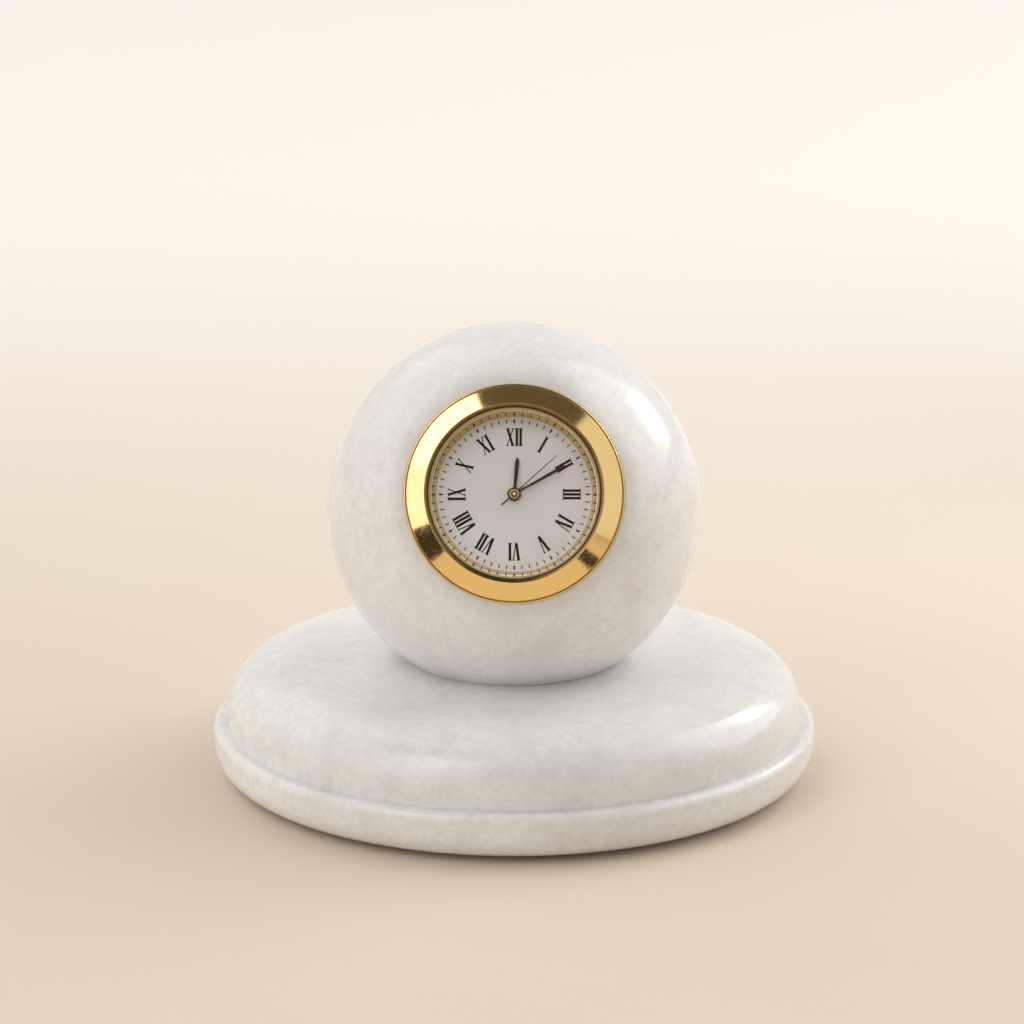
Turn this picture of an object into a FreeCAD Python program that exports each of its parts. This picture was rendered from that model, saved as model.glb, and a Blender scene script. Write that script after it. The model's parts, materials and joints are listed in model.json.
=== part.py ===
import FreeCAD, Part
import math
import os

Vector = FreeCAD.Vector

# Desk clock of polished stone: a ball on a stepped dome, with a small quartz insert pushed into
# the ball. Millimetres and degrees. The origin is on the table under the middle of the base,
# Z is up and the dial faces -Y, tilted up a little.

# Stone base: a band at the foot, a ledge, and a dome of three arcs that meet without a corner
base_diameter = 99.0
base_height = 19.11
band_height = 7.85
band_top_round = 1.3
band_bottom_round = 4.6
dome_diameter = 94.1
dome_shoulder_radius = 6.6
dome_haunch_radius = 26.0
dome_shoulder_slope = 24.0
dome_haunch_slope = 2.0
dome_crown_slope = 0.3
felt_thickness = 0.8
felt_margin = 1.8

# Stone ball, flat where it stands and where the insert sits
ball_diameter = 60.9
ball_seat_diameter = 35.4
insert_tilt = 21.9
pocket_depth = 12.0
seat_margin = 0.2

# Stud that holds the ball on the base
stud_diameter = 6.0
stud_depth_in_ball = 14.0
stud_clearance = 0.3
stud_end = 1.5
nut_width = 10.0
nut_height = 5.0
washer_diameter = 18.0
washer_thickness = 1.6
counterbore_diameter = 22.0
counterbore_depth = 9.0

# Front of the insert. Heights in the insert are measured outward from its seat on the ball
bezel_diameter = 35.2
bezel_height = 2.0
bezel_lip_width = 0.4
bezel_lip_height = 0.5
bezel_step = 0.12
bezel_mouth_width = 0.25
bezel_crest_width = 0.2
crystal_diameter = 26.7
crystal_thickness = 1.2
crystal_bevel = 0.25
crystal_gasket_width = 0.55
crystal_gasket_rise = 0.1
crystal_seat_height = 0.2
case_rim_height = 1.0
rim_clearance = 0.05

# Dial and the gold ring that stands on it
dial_opening_diameter = 24.8
dial_opening_flare = 0.6
dial_thickness = 0.4
dial_clearance = 0.05
dial_hole_diameter = 2.3
dial_foot_diameter = 0.7
dial_foot_length = 1.3
dial_foot_distance = 9.7
dial_foot_bearings = (100, 280)
hand_room = 1.7

# Case of the insert: a wide cup for the dial and a narrower one for the movement
case_front_wall = 0.5
case_shoulder = 0.3
case_rear_wall = 0.7
case_dial_ledge = 0.05
case_depth = 7.4
ring_thickness = 0.75
ring_clearance = 0.05
ring_rib_height = 0.35
ring_rib_count = 3
ring_gap = 0.1
back_thickness = 0.6
back_spigot_height = 0.7
back_spigot_wall = 0.9
back_gasket_width = 0.4
back_gasket_height = 0.5
back_notch_width = 2.4
back_notch_depth = 0.5

# Movement: plate, holder, bridge and screws
plate_diameter = 21.2
plate_web = 0.75
motion_recess = 0.95
plate_gap = 0.05
holder_wall = 0.75
holder_clearance = 0.05
holder_room = 0.5
bridge_thickness = 0.4
bridge_width = 1.5
bridge_room = 0.3
pillar_radius = 0.7
pillar_gap = 1.3
rear_pillar_gap = 0.87
pillar_bearings = (155, 52, -32)
screw_head_radius = 0.6
screw_head_height = 0.35
screw_radius = 0.3
screw_length = 1.4
screw_slot = 0.18

# Wheel train. A wheel and its pinion are one piece on one arbor
wheel_thickness = 0.2
pinion_height = 0.34
first_layer = 0.25
layer_pitch = 0.5
wheel_layer_count = 4
arbor_radius = 0.15
pivot_clearance = 0.03
pivot_depth = 0.25
wheel_clearance = 0.15
train_module = 0.14
second_module = 0.172
rotor_module = 0.16
motion_module = 0.13
second_pinion_teeth = 6
third_wheel_teeth = 45
third_pinion_teeth = 6
centre_wheel_teeth = 48
second_wheel_teeth = 36
fifth_pinion_teeth = 6
fifth_wheel_teeth = 30
rotor_pinion_teeth = 6
cannon_pinion_teeth = 12
minute_wheel_teeth = 36
minute_pinion_teeth = 8
hour_wheel_teeth = 32
setting_wheel_teeth = 14
addendum_share = 0.8
dedendum_share = 1.1
tooth_root_share = 0.28
tooth_tip_share = 0.11
third_bearing = 130
fifth_bearing = 250
rotor_bearing = 320
minute_wheel_bearing = -25
minute_post_radius = 0.25

# Pipes and arbors at the middle, one inside the next
second_arbor_radius = 0.11
cannon_bore_radius = 0.15
cannon_radius = 0.46
hour_bore_radius = 0.5
hour_pipe_radius = 0.75
motion_wheel_thickness = 0.3
motion_layer_gap = 0.05
dial_washer_thickness = 0.1
dial_washer_width = 1.1

# Hands, pressed on their pipes, and where they point, clockwise from twelve
hour_hand_length = 5.95
hour_hand_width = 0.68
hour_hand_thickness = 0.12
hour_hand_angle = 5.07
hour_hand_rise = 0.42
minute_hand_length = 9.35
minute_hand_width = 0.54
minute_hand_thickness = 0.12
minute_hand_angle = 60.8
second_hand_length = 9.2
second_hand_tail = 2.75
second_hand_width = 0.17
second_tip_width = 0.12
second_tail_width = 0.28
second_hand_thickness = 0.08
second_hand_angle = 48.0
hand_gap = 0.28
hand_neck_share = 0.66
hand_widest_share = 0.86
hand_swell_share = 0.6
hand_hub_radius = 0.96
hand_hub_rim_width = 0.25
hand_hub_rim_height = 0.12
second_hub_radius = 0.56
second_hub_height = 0.2

# Electrical parts
battery_diameter = 6.8
battery_height = 2.6
battery_bearing = 50
battery_gap = 0.1
clamp_thickness = 0.2
clamp_width = 1.8
clamp_reach_share = 0.6
rotor_radius = 1.0
rotor_magnet_height = 1.0
stator_thickness = 0.5
stator_hole_gap = 0.3
stator_inner_wall = 0.19
stator_outer_wall = 0.36
stator_half_length = 5.1
stator_leg_width = 1.3
coil_radius = 1.1
coil_length = 7.0
coil_gap = 0.15
core_width = 0.9
core_thickness = 0.4
core_end = 1.1
board_thickness = 0.35
board_margin = 0.4
board_clearance = 0.3
quartz_radius = 1.0
quartz_length = 6.0
chip_side = 1.6
chip_height = 0.8
chip_offset = 5.1

# Setting work on the stem at three o'clock
stem_depth = 0.1
stem_radius = 0.45
stem_square = 0.55
stem_pilot_radius = 0.25
stem_pilot_length = 1.2
stem_square_length = 2.5
stem_collar = 0.15
stem_groove_length = 0.7
stem_groove_radius = 0.25
stem_in_crown = 0.6
sliding_pinion_radius = 0.9
sliding_pinion_length = 1.4
sliding_pinion_neck_radius = 0.6
sliding_pinion_neck_length = 0.7
sliding_pinion_teeth = 12
sliding_clearance = 0.03
stem_slot_clearance = 0.2
setting_reach = 0.2
crown_radius = 1.4
crown_length = 1.4
crown_teeth = 24
crown_flute_depth = 0.12
crown_gap = 0.1
crown_travel = 0.8
crown_edge_round = 0.2
tube_wall = 0.3
tube_stand = 0.3
seal_width = 0.3
seal_clearance = 0.02
pinion_travel = 0.5
lever_arm = 2.0
lever_thickness = 0.25
lever_radius = 0.4
lever_nose_radius = 0.25
lever_post_radius = 0.2
lever_gap = 0.05
yoke_arm = 2.6
yoke_radius = 0.4

# How far a cutting tool runs past the face that it cuts
overrun = 1.0


def disc(radius, bottom, top, x=0, y=0):
    """An upright cylinder between two heights."""
    return Part.makeCylinder(radius, top - bottom, Vector(x, y, bottom))


def ring(outer, inner, bottom, top, x=0, y=0):
    """A plain ring between two heights."""
    return disc(outer, bottom, top, x, y).cut(disc(inner, bottom, top, x, y))


def block(x_low, x_high, y_low, y_high, bottom, top):
    """A box between its lowest and highest corner."""
    corner = Vector(x_low, y_low, bottom)
    return Part.makeBox(x_high - x_low, y_high - y_low, top - bottom, corner)


def joined(shapes):
    """Shapes that are one piece, without the seams between them."""
    return shapes[0].fuse(shapes[1:]).removeSplitter()


def turned(edges):
    """The solid that a closed outline in the XZ plane sweeps round the Z axis."""
    face = Part.Face(Part.Wire(edges))
    return face.revolve(Vector(0, 0, 0), Vector(0, 0, 1), 360)


def outline(points):
    """Straight edges through points given as radius and height, closed at the end."""
    corners = [Vector(radius, 0, height) for radius, height in points]
    closed = corners + corners[:1]
    return [Part.makeLine(start, end) for start, end in zip(closed, closed[1:])]


def turned_outline(points):
    return turned(outline(points))


def polar(radius, bearing, height=0):
    """A point at a bearing in degrees from the X axis, turned towards Y."""
    angle = math.radians(bearing)
    return Vector(radius * math.cos(angle), radius * math.sin(angle), height)


def prism(corners, thickness):
    """A flat plate whose lower face has these corners."""
    face = Part.Face(Part.makePolygon(corners + corners[:1]))
    return face.extrude(Vector(0, 0, thickness))


def strip(start, end, radius, bottom, top):
    """A flat link with round ends between two points."""
    length = math.hypot(end.x - start.x, end.y - start.y)
    bearing = math.degrees(math.atan2(end.y - start.y, end.x - start.x))
    middle = block(0, length, -radius, radius, bottom, top)
    link = joined([middle, disc(radius, bottom, top), disc(radius, bottom, top, length)])
    link.rotate(Vector(0, 0, 0), Vector(0, 0, 1), bearing)
    link.translate(Vector(start.x, start.y, 0))
    return link


def tip_radius(module, teeth):
    return module * (teeth / 2 + addendum_share)


def toothed_outline(tip, root, teeth, phase, height):
    """Corners of a wheel with straight-sided teeth, one of them centred on the phase angle."""
    pitch = 360 / teeth
    corners = []
    for index in range(teeth):
        middle = phase + index * pitch
        corners.append(polar(root, middle - tooth_root_share * pitch, height))
        corners.append(polar(tip, middle - tooth_tip_share * pitch, height))
        corners.append(polar(tip, middle + tooth_tip_share * pitch, height))
        corners.append(polar(root, middle + tooth_root_share * pitch, height))
    return corners


def wheel(module, teeth, phase, bottom, thickness):
    """A toothed wheel about the Z axis."""
    root = module * (teeth / 2 - dedendum_share)
    tip = tip_radius(module, teeth)
    return prism(toothed_outline(tip, root, teeth, phase, bottom), thickness)


def meshed_phase(driver_teeth, driver_phase, teeth, bearing):
    """The phase that puts a gap of the driven wheel on the driver's tooth at the line of centres."""
    lead = (driver_phase - bearing) * driver_teeth / teeth
    return bearing + 180 - lead + 180 / teeth


def moved(shape, place):
    """The shape, shifted sideways to a wheel's centre."""
    shape.translate(Vector(place.x, place.y, 0))
    return shape


# Radii and heights that follow from the sizes above, the stone first
base_radius = base_diameter / 2
dome_radius = dome_diameter / 2
ball_radius = ball_diameter / 2
ball_seat_radius = ball_seat_diameter / 2
base_top = felt_thickness + base_height
ledge_top = felt_thickness + band_height
ball_centre_height = base_top + math.sqrt(ball_radius**2 - ball_seat_radius**2)
stud_radius = stud_diameter / 2
nut_seat = felt_thickness + counterbore_depth

# Radii of the insert, from the crystal outward
bezel_radius = bezel_diameter / 2
crystal_radius = crystal_diameter / 2
crystal_gasket_radius = crystal_radius + crystal_gasket_width
case_front_radius = crystal_gasket_radius + case_front_wall
dial_radius = crystal_radius - case_dial_ledge
ring_radius = case_front_radius + ring_thickness
pocket_radius = ring_radius + ring_clearance
insert_seat_radius = bezel_radius + seat_margin
insert_seat_distance = math.sqrt(ball_radius**2 - insert_seat_radius**2)
plate_radius = plate_diameter / 2
holder_bore = plate_radius + holder_clearance
case_rear_bore = holder_bore + holder_wall
case_rear_radius = case_rear_bore + case_rear_wall

# Heights of the insert, from the crystal inward
crystal_top = crystal_seat_height + crystal_thickness
crystal_gasket_top = crystal_top + crystal_gasket_rise
dial_top = crystal_seat_height - hand_room
dial_bottom = dial_top - dial_thickness
shoulder_bottom = dial_bottom - case_shoulder
plate_top = dial_bottom - plate_gap
recess_floor = plate_top - motion_recess
plate_bottom = recess_floor - plate_web
wheel_layers = [
    plate_bottom - first_layer - index * layer_pitch for index in range(wheel_layer_count)
]
bridge_top = wheel_layers[-1] - bridge_room
bridge_bottom = bridge_top - bridge_thickness
holder_bottom = bridge_bottom - holder_room
back_top = -case_depth

# Distances between the wheels' centres
third_distance = train_module * (second_pinion_teeth + third_wheel_teeth) / 2
centre_module = 2 * third_distance / (third_pinion_teeth + centre_wheel_teeth)
fifth_distance = second_module * (second_wheel_teeth + fifth_pinion_teeth) / 2
rotor_distance = rotor_module * (fifth_wheel_teeth + rotor_pinion_teeth) / 2
minute_wheel_distance = motion_module * (cannon_pinion_teeth + minute_wheel_teeth) / 2
hour_module = 2 * minute_wheel_distance / (minute_pinion_teeth + hour_wheel_teeth)
setting_distance = motion_module * (minute_wheel_teeth + setting_wheel_teeth) / 2

# Where each wheel stands on the plate, seen from the dial
centre_place = Vector(0, 0, 0)
third_place = polar(third_distance, third_bearing)
fifth_place = polar(fifth_distance, fifth_bearing)
rotor_place = fifth_place + polar(rotor_distance, rotor_bearing)
minute_place = polar(minute_wheel_distance, minute_wheel_bearing)
setting_wheel_x = minute_place.x + math.sqrt(setting_distance**2 - minute_place.y**2)
setting_place = Vector(setting_wheel_x, 0, 0)
setting_bearing = math.degrees(math.asin(-minute_place.y / setting_distance))

# Tips of the wheels, which the pillars and the board keep clear of
centre_tip = tip_radius(centre_module, centre_wheel_teeth)
third_tip = tip_radius(train_module, third_wheel_teeth)
fifth_tip = tip_radius(rotor_module, fifth_wheel_teeth)
minute_tip = tip_radius(motion_module, minute_wheel_teeth)
hour_tip = tip_radius(hour_module, hour_wheel_teeth)
setting_tip = tip_radius(motion_module, setting_wheel_teeth)

# Pillars that carry the bridge, each set out from the wheel beside it
pillar_places = [
    fifth_place + polar(fifth_tip + pillar_radius + rear_pillar_gap, pillar_bearings[0]),
    third_place + polar(third_tip + pillar_radius + wheel_clearance, pillar_bearings[1]),
    polar(centre_tip + pillar_radius + pillar_gap, pillar_bearings[2]),
]

# The battery lies outside the centre wheel
battery_radius = battery_diameter / 2
battery_place = polar(centre_tip + battery_radius + wheel_clearance, battery_bearing)

# Stem line and the pieces along it, from the middle of the movement outward
stem_height = plate_bottom - stem_depth
pinion_end = setting_place.x + setting_tip + pinion_travel - setting_reach
pinion_middle = pinion_end + sliding_pinion_length / 2
square_start = pinion_end - crown_travel
square_end = square_start + stem_square_length
groove_start = square_end + stem_collar
groove_middle = groove_start + stem_groove_length / 2
groove_end = groove_start + stem_groove_length
tube_end = case_rear_radius + tube_stand
crown_start = tube_end + crown_gap
stem_end = crown_start + stem_in_crown
tube_bore = stem_radius + seal_clearance + seal_width / 2
tube_radius = tube_bore + tube_wall
lever_place = Vector(groove_middle + crown_travel / 2, lever_arm, 0)
yoke_place = Vector(pinion_middle - pinion_travel / 2, -yoke_arm, 0)
lever_top = stem_height - stem_radius - lever_gap
lever_bottom = lever_top - lever_thickness
yoke_top = stem_height - sliding_pinion_radius - lever_gap
yoke_bottom = yoke_top - lever_thickness

# The stator lies round the rotor, and the coil beside it
stator_hole_radius = rotor_radius + stator_hole_gap
magnet_top = plate_bottom - first_layer
magnet_bottom = magnet_top - rotor_magnet_height
stator_top = (magnet_top + magnet_bottom + stator_thickness) / 2
stator_bottom = stator_top - stator_thickness
stator_high_edge = rotor_place.y + stator_hole_radius + stator_inner_wall
stator_low_edge = rotor_place.y - stator_hole_radius - stator_outer_wall
coil_y = stator_low_edge - coil_gap - coil_radius
core_top = stator_bottom
core_bottom = core_top - core_thickness
coil_height = (core_top + core_bottom) / 2
core_half_length = coil_length / 2 + core_end

# The board fills the side of the plate that the third wheel leaves free
board_edge = third_place.x - third_tip - board_clearance
board_top = plate_bottom
board_bottom = board_top - board_thickness

# Heights of the motion work under the dial
washer_top = dial_bottom - motion_layer_gap / 2
washer_bottom = washer_top - dial_washer_thickness
hour_wheel_top = washer_bottom - motion_layer_gap / 2
hour_wheel_bottom = hour_wheel_top - motion_wheel_thickness
minute_wheel_top = hour_wheel_bottom - 2 * motion_layer_gap
minute_wheel_bottom = recess_floor + motion_layer_gap
hour_hand_bottom = dial_top + hour_hand_rise
hour_hand_top = hour_hand_bottom + hour_hand_thickness
minute_hand_bottom = hour_hand_top + hand_gap
minute_hand_top = minute_hand_bottom + minute_hand_thickness
second_hand_bottom = minute_hand_top + hand_gap
second_hand_top = second_hand_bottom + second_hand_thickness

# Phases of the teeth at rest, handed on from wheel to wheel
third_phase = meshed_phase(second_pinion_teeth, 0, third_wheel_teeth, third_bearing)
centre_phase = meshed_phase(third_pinion_teeth, 0, centre_wheel_teeth, third_bearing + 180)
fifth_phase = meshed_phase(second_wheel_teeth, 0, fifth_pinion_teeth, fifth_bearing)
rotor_phase = meshed_phase(fifth_wheel_teeth, 0, rotor_pinion_teeth, rotor_bearing)
minute_phase = meshed_phase(cannon_pinion_teeth, 0, minute_wheel_teeth, minute_wheel_bearing)
hour_phase = meshed_phase(minute_pinion_teeth, 0, hour_wheel_teeth, minute_wheel_bearing + 180)
setting_phase = meshed_phase(minute_wheel_teeth, minute_phase, setting_wheel_teeth, setting_bearing)

# The insert's own frame: its Z axis points out of the ball along the dial's normal, its Y axis
# to twelve o'clock
outward = Vector(0, -math.cos(math.radians(insert_tilt)), math.sin(math.radians(insert_tilt)))
ball_centre = Vector(0, 0, ball_centre_height)
insert_turn = FreeCAD.Rotation(Vector(1, 0, 0), 90 - insert_tilt)
insert_frame = FreeCAD.Placement(ball_centre + outward * insert_seat_distance, insert_turn)


# Stone and its fastening


def make_stone_base():
    """Foot band, ledge and domed top, turned in one piece, with the bolt hole from below."""
    shoulder = math.radians(dome_shoulder_slope)
    haunch = math.radians(dome_haunch_slope)
    crown = math.radians(dome_crown_slope)

    haunch_out = dome_radius - dome_shoulder_radius * (1 - math.sin(shoulder))
    haunch_in = haunch_out - dome_haunch_radius * (math.sin(shoulder) - math.sin(haunch))
    crest_radius = (haunch_in - ball_seat_radius) / (math.sin(haunch) - math.sin(crown))
    haunch_in_height = base_top - crest_radius * (math.cos(crown) - math.cos(haunch))
    haunch_rise = dome_haunch_radius * (math.cos(haunch) - math.cos(shoulder))
    haunch_out_height = haunch_in_height - haunch_rise
    spring_height = haunch_out_height - dome_shoulder_radius * math.cos(shoulder)

    def sloped_arc(radius, start, start_height, slope, end_slope):
        """An arc that falls outward, from a point where it has one slope to another slope."""
        centre_r = start - radius * math.sin(slope)
        centre_z = start_height - radius * math.cos(slope)
        points = []
        for angle in (slope, (slope + end_slope) / 2, end_slope):
            point = Vector(radius * math.sin(angle), 0, radius * math.cos(angle))
            points.append(point + Vector(centre_r, 0, centre_z))
        return Part.Arc(*points).toShape()

    square = math.pi / 2
    band_flat = base_radius - band_bottom_round
    lower_start = felt_thickness + band_bottom_round
    edges = [
        Part.makeLine(Vector(0, 0, felt_thickness), Vector(0, 0, base_top)),
        Part.makeLine(Vector(0, 0, base_top), Vector(ball_seat_radius, 0, base_top)),
        sloped_arc(crest_radius, ball_seat_radius, base_top, crown, haunch),
        sloped_arc(dome_haunch_radius, haunch_in, haunch_in_height, haunch, shoulder),
        sloped_arc(dome_shoulder_radius, haunch_out, haunch_out_height, shoulder, square),
        Part.makeLine(Vector(dome_radius, 0, spring_height), Vector(dome_radius, 0, ledge_top)),
        Part.makeLine(
            Vector(dome_radius, 0, ledge_top), Vector(base_radius - band_top_round, 0, ledge_top)
        ),
        sloped_arc(band_top_round, base_radius - band_top_round, ledge_top, 0, square),
        Part.makeLine(
            Vector(base_radius, 0, ledge_top - band_top_round), Vector(base_radius, 0, lower_start)
        ),
        sloped_arc(band_bottom_round, base_radius, lower_start, square, 2 * square),
        Part.makeLine(Vector(band_flat, 0, felt_thickness), Vector(0, 0, felt_thickness)),
    ]
    stone = turned(edges)
    bolt_hole = disc(stud_radius + stud_clearance, 0, base_top + overrun)
    counterbore = disc(counterbore_diameter / 2, 0, nut_seat)
    return stone.cut([bolt_hole, counterbore])


def make_felt_pad():
    return disc(base_radius - band_bottom_round - felt_margin, 0, felt_thickness)


def make_stone_ball():
    """A ball, cut flat at its foot and at the insert, with the pocket and the stud hole."""
    ball = Part.makeSphere(ball_radius, ball_centre)
    foot = disc(ball_diameter, base_top - ball_diameter, base_top)
    stud_hole = disc(stud_radius, base_top - overrun, base_top + stud_depth_in_ball)
    seat = disc(ball_radius, 0, ball_radius)
    pocket = disc(pocket_radius, -pocket_depth, overrun)
    for tool in (seat, pocket):
        tool.Placement = insert_frame
    return ball.cut([foot, stud_hole, seat, pocket])


def make_joining_stud():
    bottom = nut_seat - washer_thickness - nut_height - stud_end
    return disc(stud_radius, bottom, base_top + stud_depth_in_ball)


def make_stud_washer():
    bore = stud_radius + stud_clearance
    return ring(washer_diameter / 2, bore, nut_seat - washer_thickness, nut_seat)


def make_stud_nut():
    top = nut_seat - washer_thickness
    corner_radius = nut_width / math.sqrt(3)
    corners = [polar(corner_radius, 60 * index, top - nut_height) for index in range(6)]
    return prism(corners, nut_height).cut(disc(stud_radius, top - nut_height, top))


# Front and case of the insert


def make_bezel():
    """A polished cone with a thin lip at its foot and a flared mouth round the crystal."""
    mouth = crystal_gasket_radius + rim_clearance
    lip_inner = bezel_radius - bezel_lip_width
    points = [
        (case_front_radius, 0),
        (bezel_radius, 0),
        (bezel_radius, bezel_lip_height),
        (lip_inner, bezel_lip_height),
        (lip_inner, bezel_lip_height + bezel_step),
        (mouth + bezel_mouth_width + bezel_crest_width, bezel_height),
        (mouth + bezel_mouth_width, bezel_height),
        (mouth, crystal_gasket_top),
        (mouth, case_rim_height),
        (case_front_radius, case_rim_height),
    ]
    return turned_outline(points)


def make_crystal():
    points = [
        (0, crystal_seat_height),
        (crystal_radius, crystal_seat_height),
        (crystal_radius, crystal_top - crystal_bevel),
        (crystal_radius - crystal_bevel, crystal_top),
        (0, crystal_top),
    ]
    return turned_outline(points)


def make_crystal_gasket():
    return ring(crystal_gasket_radius, crystal_radius, crystal_seat_height, crystal_gasket_top)


def make_rehaut_ring():
    """The gold ring between dial and crystal, wider at the crystal."""
    opening = dial_opening_diameter / 2
    points = [
        (opening, dial_top),
        (dial_radius, dial_top),
        (dial_radius, crystal_seat_height),
        (opening + dial_opening_flare, crystal_seat_height),
    ]
    return turned_outline(points)


def make_dial():
    plate = ring(dial_radius - dial_clearance, dial_hole_diameter / 2, dial_bottom, dial_top)
    feet = []
    for bearing in dial_foot_bearings:
        place = polar(dial_foot_distance, bearing)
        foot_end = dial_bottom - dial_foot_length
        feet.append(disc(dial_foot_diameter / 2, foot_end, dial_bottom, place.x, place.y))
    return joined([plate] + feet)


def make_insert_case():
    """The cup behind the bezel: crystal seat, dial ledge and the wall round the movement."""
    points = [
        (crystal_gasket_radius, case_rim_height),
        (case_front_radius, case_rim_height),
        (case_front_radius, shoulder_bottom),
        (case_rear_radius, shoulder_bottom),
        (case_rear_radius, back_top),
        (case_rear_bore, back_top),
        (case_rear_bore, dial_bottom),
        (dial_radius, dial_bottom),
        (dial_radius, crystal_seat_height),
        (crystal_gasket_radius, crystal_seat_height),
    ]
    tube_hole = along_stem(tube_radius, case_rear_bore - overrun, case_rear_radius + overrun)
    return turned_outline(points).cut(tube_hole)


def make_retaining_ring():
    """A rubber ring whose saw-tooth ribs grip the pocket."""
    top = -ring_gap
    core_radius = ring_radius - ring_rib_height
    rib_pitch = (top - shoulder_bottom) / ring_rib_count
    points = [(case_front_radius, shoulder_bottom)]
    for index in range(ring_rib_count):
        foot = shoulder_bottom + index * rib_pitch
        points.append((core_radius, foot))
        points.append((ring_radius, foot + rib_pitch))
    points.append((case_front_radius, top))
    return turned_outline(points)


def make_case_back():
    """A snap-on lid with a spigot and a notch for lifting it off."""
    spigot_radius = case_rear_bore - back_gasket_width
    lid = disc(case_rear_radius, back_top - back_thickness, back_top)
    spigot = ring(
        spigot_radius, spigot_radius - back_spigot_wall, back_top, back_top + back_spigot_height
    )
    notch = block(
        -back_notch_width / 2,
        back_notch_width / 2,
        -case_rear_radius - overrun,
        back_notch_depth - case_rear_radius,
        back_top - back_thickness - overrun,
        back_top - back_thickness / 2,
    )
    return joined([lid, spigot]).cut(notch)


def make_back_gasket():
    inner = case_rear_bore - back_gasket_width
    return ring(case_rear_bore, inner, back_top, back_top + back_gasket_height)


# Movement


def along_stem(radius, start, end):
    """A round bar on the stem's line, which runs along X."""
    return Part.makeCylinder(radius, end - start, Vector(start, 0, stem_height), Vector(1, 0, 0))


def make_movement_holder():
    body = ring(case_rear_bore, holder_bore, holder_bottom, plate_top)
    tube_hole = along_stem(tube_radius, holder_bore - overrun, case_rear_bore + overrun)
    return body.cut(tube_hole)


def make_main_plate():
    """The plate, with the wheels' bearings and the room for the motion and setting work."""
    plate = disc(plate_radius, plate_bottom, plate_top)
    solids = [plate]
    for place in pillar_places:
        solids.append(disc(pillar_radius, bridge_top, plate_bottom, place.x, place.y))
    for place, end in ((lever_place, lever_bottom), (yoke_place, yoke_bottom)):
        solids.append(disc(lever_post_radius, end, plate_bottom, place.x, place.y))
    body = joined(solids)

    recess_top = plate_top + overrun
    slot_half = sliding_pinion_radius + stem_slot_clearance
    slot_start = square_start - wheel_clearance
    cuts = [
        disc(hour_tip + wheel_clearance, recess_floor, recess_top),
        disc(minute_tip + wheel_clearance, recess_floor, recess_top, minute_place.x, minute_place.y),
        disc(setting_tip + wheel_clearance, recess_floor, recess_top, setting_place.x),
        disc(cannon_radius + pivot_clearance, plate_bottom, recess_floor),
        disc(
            battery_radius + battery_gap,
            plate_bottom - overrun,
            bridge_bottom + battery_height,
            battery_place.x,
            battery_place.y,
        ),
        block(
            slot_start,
            plate_radius + overrun,
            -slot_half,
            slot_half,
            plate_bottom - overrun,
            recess_top,
        ),
        along_stem(
            stem_pilot_radius + pivot_clearance, square_start - stem_pilot_length, slot_start
        ),
    ]
    for place in (third_place, fifth_place, rotor_place):
        bearing_top = plate_bottom + pivot_depth
        bearing_radius = arbor_radius + pivot_clearance
        cuts.append(disc(bearing_radius, plate_bottom, bearing_top, place.x, place.y))
    for bearing in dial_foot_bearings:
        place = polar(dial_foot_distance, bearing)
        foot_end = dial_bottom - dial_foot_length
        cuts.append(disc(dial_foot_diameter / 2, foot_end, recess_top, place.x, place.y))
    for place in pillar_places:
        screw_end = bridge_bottom + screw_length
        cuts.append(disc(screw_radius, bridge_top, screw_end, place.x, place.y))
    body = body.cut(cuts)

    posts = []
    for place in (minute_place, setting_place):
        posts.append(
            disc(minute_post_radius, recess_floor, hour_wheel_top, place.x, place.y)
        )
    return joined([body] + posts)


def make_train_bridge():
    """A skeleton bridge: an arm from the middle to each pillar and to each arbor."""
    arm = bridge_width / 2
    arms = []
    for place in pillar_places + [third_place, fifth_place]:
        arms.append(strip(centre_place, place, arm, bridge_bottom, bridge_top))
    arms.append(strip(fifth_place, rotor_place, arm, bridge_bottom, bridge_top))
    cuts = []
    for place in (third_place, fifth_place, rotor_place):
        bearing_radius = arbor_radius + pivot_clearance
        bearing_end = bridge_top - pivot_depth
        cuts.append(disc(bearing_radius, bearing_end, bridge_top, place.x, place.y))
    second_radius = second_arbor_radius + pivot_clearance
    cuts.append(disc(second_radius, bridge_top - pivot_depth, bridge_top))
    for place in pillar_places:
        cuts.append(disc(screw_radius, bridge_bottom, bridge_top, place.x, place.y))
    return joined(arms).cut(cuts)


def make_bridge_screws():
    """Slotted screws through the bridge into its pillars; one also holds the battery clamp."""
    screws = []
    for index, place in enumerate(pillar_places):
        head_top = bridge_bottom - (clamp_thickness if index == 1 else 0)
        head_bottom = head_top - screw_head_height
        head = disc(screw_head_radius, head_bottom, head_top)
        shank = disc(screw_radius, head_top, bridge_bottom + screw_length)
        slot = block(
            -screw_head_radius,
            screw_head_radius,
            -screw_slot / 2,
            screw_slot / 2,
            head_bottom,
            head_bottom + screw_head_height / 2,
        )
        screws.append(moved(joined([head, shank]).cut(slot), place))
    return Part.makeCompound(screws)


def make_wheel_set(upper, lower, end):
    """Two toothed wheels on one arbor, which ends in the plate and in the bridge."""
    low_end = bridge_top - pivot_depth + pivot_clearance
    return joined([upper, lower, disc(arbor_radius, low_end, end)])


def make_rotor():
    layer = wheel_layers[3]
    pinion = wheel(
        rotor_module, rotor_pinion_teeth, rotor_phase, layer - pinion_height / 2, pinion_height
    )
    magnet = disc(rotor_radius, magnet_bottom, magnet_top)
    end = plate_bottom + pivot_depth - pivot_clearance
    return moved(make_wheel_set(pinion, magnet, end), rotor_place)


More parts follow.
